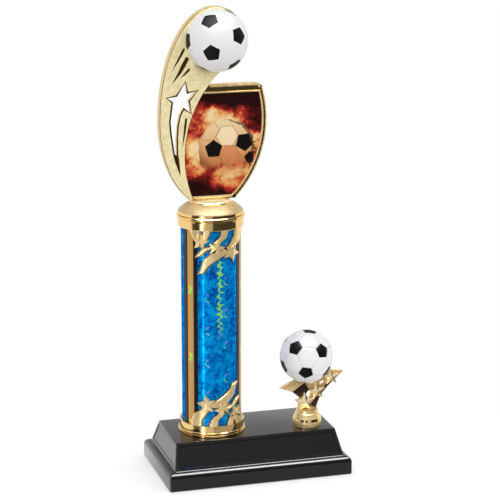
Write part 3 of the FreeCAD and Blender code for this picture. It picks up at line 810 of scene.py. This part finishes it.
# back plate and front rim of the shield
back_plate = cut_sheet([shield], 7.5, 0.6)
back_plate.normal_update()
for face in back_plate.faces:
    face.material_index = int(face.normal.z < -0.95)
join(winged_frame, back_plate, forward(-1.25))
join(winged_frame, cut_sheet([shield, pocket], 2.3, 0.3), forward(3.4))
rail = [(41.2, 92.0), (40.6, 93.4), (39.4, 94.2), (37.8, 94.4), (-1.4, 94.4)]
lip = arc(right_side, 90.3, -43.9, 14.6, 22) + [(-6.2, 88.9)]
sill = [(17.4, 2.0), (-15.6, 2.0)]
rim = arc(right_side, 93.1, -43.5, 16.2, 22)
for line, radius, out in ((rail, 1.3, 4.2), (lip, 0.9, 4.3), (sill, 1.0, 4.2), (rim, 0.5, 4.4)):
    join(winged_frame, tinted(beading(line, radius), 2), forward(out))
bmesh.ops.transform(winged_frame, verts=winged_frame.verts, matrix=stand_up)
foot = spun([(0, -12), (7.2, -12), (7.2, -foot_height), (16.8, -foot_height), (17.0, -2.3), (16.9, -1.9),
             (16.4, -1.35), (15.2, -0.75), (13.4, -0.3), (11.0, -0.05), (9, 0), (0, 0)],
            column_x, 0, steps=96, closed=False)
# upward faces of the foot take the pale gold: a painted highlight on its top
for face in foot.faces:
    face.material_index = 3 if face.normal.z > 0.3 else 0
move(foot, (0, 0, figure_z))
join(winged_frame, foot)
face_outwards(winged_frame)
make_piece("winged_frame", winged_frame, "gold_plastic",
           [polished_gold, satin_gold, soft_gold, pale_gold, shade_painted_gold, edge_gold], "figure_frame", sharp=35)


# ---- printed insert ----
# A thin printed plate lies in the shield's pocket.  The print shows flames round a
# plain ball of white and black patches; it carries no lettering.
print_finish, tree, shader = new_finish("printed_insert", (0.3, 0.05, 0.02), 0.3, specular=0.3)
spot = millimetres_from(tree, column_x, figure_z)
part = add(tree, "ShaderNodeSeparateXYZ", {0: spot})
sheet_x, sheet_z = part.outputs[0], part.outputs[2]

# Flat regular patch: mask of a polygon about a middle, with a soft edge.
places = {"Across": 0.0, "Up": 0.0, "Middle Across": 0.0, "Middle Up": 0.0}
patch, given, result = new_effect(
    "flat_patch", {**places, "Sides": 5.0, "Size": 8.0, "Turn": 0.0, "Edge": 0.4},
    {"Mask": "Float", "Outline": "Float"})
side_x = minus(patch, given.outputs["Across"], given.outputs["Middle Across"])
side_z = minus(patch, given.outputs["Up"], given.outputs["Middle Up"])
wedge = calc(patch, "DIVIDE", 2 * math.pi, given.outputs["Sides"])
half_wedge = times(patch, wedge, 0.5)
angle = calc(patch, "ARCTAN2", side_z, side_x)
angle = minus(patch, angle, calc(patch, "RADIANS", given.outputs["Turn"]))
angle = calc(patch, "FLOORED_MODULO", plus(patch, angle, half_wedge), wedge)
angle = minus(patch, angle, half_wedge)
reached = times(patch, far_off(patch, side_x, side_z), calc(patch, "COSINE", angle))
inside = minus(patch, given.outputs["Size"], reached)
inside = calc(patch, "DIVIDE", inside, given.outputs["Edge"])
give(result, "Mask", held(patch, inside))
outline = minus(patch, 1, calc(patch, "ABSOLUTE", inside))
give(result, "Outline", calc(patch, "MAXIMUM", 0, outline))

ball_across, ball_up = 13.2, 39.8
away_x = minus(tree, sheet_x, ball_across)
away_z = minus(tree, sheet_z, ball_up)
away = far_off(tree, away_x, times(tree, away_z, 0.92))
swirl = noise(tree, spot, 0.055, 6.0, 0.62, 0.9)
tongue = noise(tree, spot, 0.16, 5.0, 0.7, 0.4)

# Soft spot: a glow that is strongest in its middle and dies away round it.
soft_spot, given, result = new_effect("soft_spot", {**places, "Width": 8.0, "Amount": 1.0}, {"Glow": "Float"})
out_x = minus(soft_spot, given.outputs["Across"], given.outputs["Middle Across"])
out_z = minus(soft_spot, given.outputs["Up"], given.outputs["Middle Up"])
out = plus(soft_spot, calc(soft_spot, "POWER", out_x, 2), calc(soft_spot, "POWER", out_z, 2))
out = calc(soft_spot, "DIVIDE", out, calc(soft_spot, "POWER", given.outputs["Width"], 2))
out = calc(soft_spot, "EXPONENT", times(soft_spot, out, -1))
give(result, "Glow", times(soft_spot, out, given.outputs["Amount"]))


def on_sheet(effect, x, z, values):
    """Place an effect on the print, its middle at x and z."""
    return use_effect(tree, effect, {"Across": sheet_x, "Up": sheet_z, "Middle Across": x, "Middle Up": z,
                                     **values})


heat = calc(tree, "MULTIPLY_ADD", minus(tree, swirl, 0.5), 1.5, 0.42)
heat = calc(tree, "MULTIPLY_ADD", minus(tree, tongue, 0.5), 0.9, heat)
# bright and dark places among the flames: across, up, width and how bright or dark
glows = [(-2, 72, 8, 0.5), (12, 66, 12, 0.45), (-14, 45, 9, 0.5), (40, 46, 6, 0.5), (14, 17, 10, 0.5),
         (-10, 28, 9, 0.3), (30, 24, 8, 0.4), (40, 64, 9, -0.3), (13, 73, 4, -0.25), (-17, 56, 5, -0.3),
         (-13, 9, 9, -0.7), (3, 1, 8, -0.4), (27, 10, 7, -0.3), (12, 2, 9, -0.4), (0, 90, 12, -1.0),
         (20, 91, 12, -1.0), (40, 89, 12, -1.0)]
for x, z, width, amount in glows:
    heat = plus(tree, heat, on_sheet(soft_spot, x, z, {"Width": width, "Amount": amount}).outputs[0])
fire = ramp(tree, heat, [(0.0, 0.020, 0.003, 0.003), (0.20, 0.085, 0.006, 0.004), (0.38, 0.34, 0.014, 0.014),
                         (0.55, 0.64, 0.11, 0.035), (0.72, 0.80, 0.40, 0.13), (0.95, 0.88, 0.66, 0.34)])
shade = calc(tree, "MULTIPLY_ADD", swirl, 18, plus(tree, away_z, 12))
skin = ramp(tree, calc(tree, "DIVIDE", shade, 48), [
    (0.0, 0.36, 0.09, 0.03), (0.35, 0.66, 0.26, 0.09), (0.6, 0.80, 0.48, 0.22), (1.0, 0.88, 0.68, 0.38)])


def print_patch(x, z, sides, size, turn, edge=0.5):
    """One patch of the printed ball."""
    return on_sheet(patch, x, z, {"Sides": sides, "Size": size, "Turn": turn, "Edge": edge})


for x, z, size, turn in ((13.4, 52.2, 8.3, 90), (15.8, 36.4, 7.6, 88), (-2.5, 57.5, 8.0, 30),
                         (1.5, 27.0, 8.0, 20)):
    line = print_patch(x, z, 6.0, size, turn, 0.45).outputs["Outline"]
    skin = mix(tree, times(tree, line, 0.75), skin, (0.30, 0.12, 0.05))
skin = mix(tree, times(tree, print_patch(15.8, 36.4, 6.0, 7.4, 88).outputs["Mask"], 0.7), skin,
           (0.66, 0.22, 0.09))
skin = mix(tree, times(tree, print_patch(13.4, 52.2, 6.0, 8.0, 90).outputs["Mask"], 0.6), skin,
           (0.98, 0.84, 0.58))
for x, z, size, turn in ((1.9, 41.8, 6.6, 54), (28.2, 46.6, 6.8, 95), (33.4, 33.2, 4.8, 60)):
    skin = mix(tree, print_patch(x, z, 5.0, size, turn).outputs["Mask"], skin, (0.008, 0.006, 0.006))
crumble = calc(tree, "MULTIPLY_ADD", minus(tree, tongue, 0.5), 9.0, away)
on_ball = calc(tree, "LESS_THAN", crumble, 24.2)
near_edge = plus(tree, crumble, times(tree, away_x, 0.12))
edge_burn = times(tree, calc(tree, "GREATER_THAN", near_edge, 23.6), on_ball)
skin = mix(tree, times(tree, edge_burn, 0.8), skin, (0.05, 0.015, 0.008))
# the ball's lower edge turns dark red and the flames lick over it
limb = grey_ramp(tree, calc(tree, "MULTIPLY_ADD", away_z, -0.012, calc(tree, "DIVIDE", away, 30)), [
    (0.0, 1.0), (0.6, 0.95), (0.85, 0.5), (1.0, 0.25)])
skin = add(tree, "ShaderNodeMix", {0: 1.0, 6: skin, 7: limb}, data_type="RGBA",
           blend_type="MULTIPLY").outputs[2]
licked = calc(tree, "MULTIPLY_ADD", minus(tree, tongue, 0.5), 34, away_z)
licked = calc(tree, "MULTIPLY_ADD", licked, 0.05, 0.95)
licked = grey_ramp(tree, licked, [(0.0, 0.1), (0.15, 0.1), (0.45, 1.0), (1.0, 1.0)])
on_ball = times(tree, on_ball, licked)
paint(shader, mix(tree, on_ball, fire, skin))
add_marks(shader, 0.02, 0.16, 0.3)
refinish("insert_plate", print_finish)


# ---- balls ----
# Hollow blow-moulded balls of glossy white plastic in two glued halves.  Twenty
# white panels and twelve black ones meet in shallow moulded seams.
white_panel, tree, shader = new_finish("white_panel", (0.84, 0.84, 0.85), 0.4, specular=0.3)
# the seams are painted darker in the white panels: painted shade in the grooves
seam_shade_and_glint = add(tree, "ShaderNodeAttribute", attribute_name="seam_shade_and_glint").outputs["Fac"]
paint(shader, mix(tree, calc(tree, "POWER", seam_shade_and_glint, 1.5), (0.84, 0.84, 0.85), (0.30, 0.31, 0.34)))
add_marks(shader, 0.012, 0.34, 0.48, 0.00005)
black_panel, tree, shader = new_finish("black_panel", (0.004, 0.004, 0.005), 0.5, specular=0.12)
emboss(shader, cells(tree, spot_on(tree), 900.0), 0.00008, 0.7)
add_marks(shader, 0.012, 0.4, 0.55)


def ball(centre, radius, turns, patch_share, seam_width, seam_depth, painted_seam_shade):
    """Panelled ball: an icosahedron with its corners cut off, seamed and rounded."""
    shape = bmesh.new()
    bmesh.ops.create_icosphere(shape, subdivisions=1, radius=1)
    bmesh.ops.bevel(shape, geom=shape.verts[:], offset=patch_share, offset_type="PERCENT",
                    affect="VERTICES", segments=1, profile=0.5, material=-1)
    groove = shape.verts.layers.float.new("seam_shade_and_glint")
    for vert in shape.verts:
        vert[groove] = 1.0
    for face in shape.faces:
        face.material_index = int(len(face.verts) == 5)
    bmesh.ops.inset_individual(shape, faces=shape.faces[:], thickness=seam_width, use_even_offset=True)
    for face in shape.faces:
        if len(face.verts) > 4:
            for vert in face.verts:
                vert[groove] = 0.0
    bmesh.ops.poke(shape, faces=[face for face in shape.faces if len(face.verts) > 4])
    bmesh.ops.subdivide_edges(shape, edges=shape.edges[:], cuts=6, use_grid_fill=True)
    for vert in shape.verts:
        vert.co = vert.co.normalized() * (radius - seam_depth * min(1, vert[groove]) ** 1.5)
        vert[groove] *= painted_seam_shade
    turned = Euler([math.radians(a) for a in turns]).to_matrix()
    bmesh.ops.rotate(shape, cent=(0, 0, 0), matrix=turned, verts=shape.verts)
    move(shape, centre)
    face_outwards(shape)
    return shape


for name, turns, share, width, depth, seam_shading in (
        ("top_ball", (76.0, 8.6, 29.4), 28.5, 0.03, 0.03, 0.12),
        ("side_ball", (65.2, -8.9, 28.5), 29.0, 0.06, 0.35, 0.35)):
    low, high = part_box(name + "_front")[0] * 1000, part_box(name + "_rear")[1] * 1000
    centre, radius = (low + high) / 2, (high.x - low.x) / 2
    make_piece(name, ball(centre, radius, turns, share, width, depth, seam_shading), "ball_plastic",
               [white_panel, black_panel], name + "_front", name + "_rear", sharp=80)


# ---- side figure ----
# A small plated moulding bolted to the base: a round foot with moulded slots, a
# folded ribbon that cradles the ball, and three ridged stars climbing to the right.
side_x, side_y = 50.0, -14.0
bright_gold = plating("bright_gold", (0.95, 0.70, 0.34), 0.16, 0.8, 0.005, 0.1, 0.24, 0.0002)
# dark gold for painted shade on the side figure: in its slots, its fold and behind its stars
shadow_gold = plating("painted_shadow_gold", (0.10, 0.055, 0.045), 0.25, 0.8, 0.006, 0.2, 0.35, 0.0001)
ribbon = [(-8.6, 13.0), (-7.5, 18), (-6.7, 24.1), (-13.8, 30.2), (-2.2, 37.4), (4.5, 35.6), (8.7, 36.9),
          (13.7, 41.0), (17.0, 45.7), (20.8, 46.8), (32.4, 45.0), (25.5, 38.7), (20.9, 34.5), (15.9, 29.1),
          (13.0, 25.6), (11.4, 22.4), (9.7, 18.8), (8.5, 15.1), (8.5, 13.0)]
ribbon_gaps = [[(1.6, 30.8), (-1.2, 26.5), (2.1, 22.4), (3.6, 28.2)],
               [(10.8, 36.2), (14.6, 38.4), (15.2, 35.2), (12.4, 34.0)]]
flag = [(-25.0, 34.5), (-17.8, 38.4), (-10.9, 41.1), (-2.2, 37.9), (-7.8, 34.6), (-13.8, 30.2),
        (-19.5, 32.6)]
fold = [(-13.4, 30.2), (-2.4, 37.1), (1.4, 31.4), (-1.8, 27.2), (-6.6, 24.6)]
side_stars = [(-2.6, 20.6, 9.2, 4.2, 3), (8.0, 29.3, 7.8, 3.6, 8), (20.6, 41.2, 7.4, 3.4, 4)]
side_stand = spun([(0, 0), (11.6, 0), (11.9, 0.8), (12.3, 1.6), (12.3, 4.6), (12.0, 7.4), (11.3, 8.4),
                   (10.5, 10.0), (10.1, 11.2), (9.6, 11.6), (9.4, 12.8), (9.0, 14.3), (0, 14.3)],
                  0, 0, steps=72, closed=False)
# the foot's slots, each from one bearing to another in degrees round its axis
slot_bearings = [(-170, -136), (-110, -90), (-44, -29), (-26, -14), (2, 36), (76, 110), (130, 150)]
slots = []
for face in side_stand.faces:
    middle = face.calc_center_median()
    angle = math.degrees(math.atan2(middle.x, -middle.y))
    if 5.0 < middle.z < 7.0 and any(first < angle < last for first, last in slot_bearings):
        slots.append(face)
bmesh.ops.inset_region(side_stand, faces=slots, thickness=0.25, depth=-0.7)
# the slots take the dark gold: painted shade in them
for face in slots:
    face.material_index = 1
move(side_stand, (side_x, side_y, base_height))


def standing(back_by):
    """Matrix that stands a flat sheet up at the side figure, so far behind its axis."""
    middle = Matrix.Translation((side_x, side_y + back_by, base_height))
    return middle @ Matrix.Rotation(math.pi / 2, 4, "X")


join(side_stand, cut_sheet([ribbon] + ribbon_gaps, 3.2, 0.25), standing(1.6))
join(side_stand, cut_sheet([flag], 2.6, 0.5), standing(-0.4))
# the fold is a thin sheet of the dark gold: painted shade
join(side_stand, tinted(cut_sheet([fold], 1.0, 0.25), 1), standing(-0.3))
for x, z, outer, inner, tilt in side_stars:
    star = raised_star(x, z, outer, inner, tilt, 2.6, 1.9)
    star.normal_update()
    # facets that face up and to the front take the pale gold: a painted highlight
    for face in star.faces:
        face.material_index = 2 if face.normal.dot(Vector((-0.2, 0.5, 1))) > 0.98 else 3
    join(side_stand, star, standing(-1.3))
# bar of the cradle, a thin sheet of the dark gold: painted shadow behind the stars
back_bar = [(7.6, 14.6), (10.2, 22.4), (12.4, 26.6), (17.4, 32.6), (22.6, 37.4), (17.0, 34.6), (11.6, 29.0),
            (7.0, 22.6), (2.6, 16.6)]
join(side_stand, tinted(cut_sheet([back_bar], 0.8, 0.2), 1), standing(-0.35))
face_outwards(side_stand)
make_piece("side_figure", side_stand, "gold_plastic", [soft_gold, shadow_gold, pale_gold, bright_gold],
           "side_stand", sharp=35)


# ---- fastenings ----
# Plain zinc-plated steel: the threaded tie rod, the bolt under the side figure, and
# their nuts and washers, all hidden inside the base and the cap.
zinc, tree, shader = new_finish("zinc_steel", (0.62, 0.63, 0.65), 0.32, metallic=1.0)
spot = spot_on(tree)
spangle = add(tree, "ShaderNodeSeparateColor", {0: cells(tree, spot, 400.0, "Color")}).outputs[0]
paint(shader, mix(tree, spangle, (0.55, 0.56, 0.58), (0.70, 0.70, 0.71)))
thread = add(tree, "ShaderNodeTexWave", {"Vector": spot, "Scale": 310.0}, bands_direction="Z").outputs["Fac"]
emboss(shader, thread, 0.0003, 0.6)
add_marks(shader, 0.004, 0.26, 0.42)
for node in ("tie_rod", "rod_washer", "rod_nut", "figure_nut", "side_bolt", "side_washer", "side_nut"):
    refinish(node, zinc)
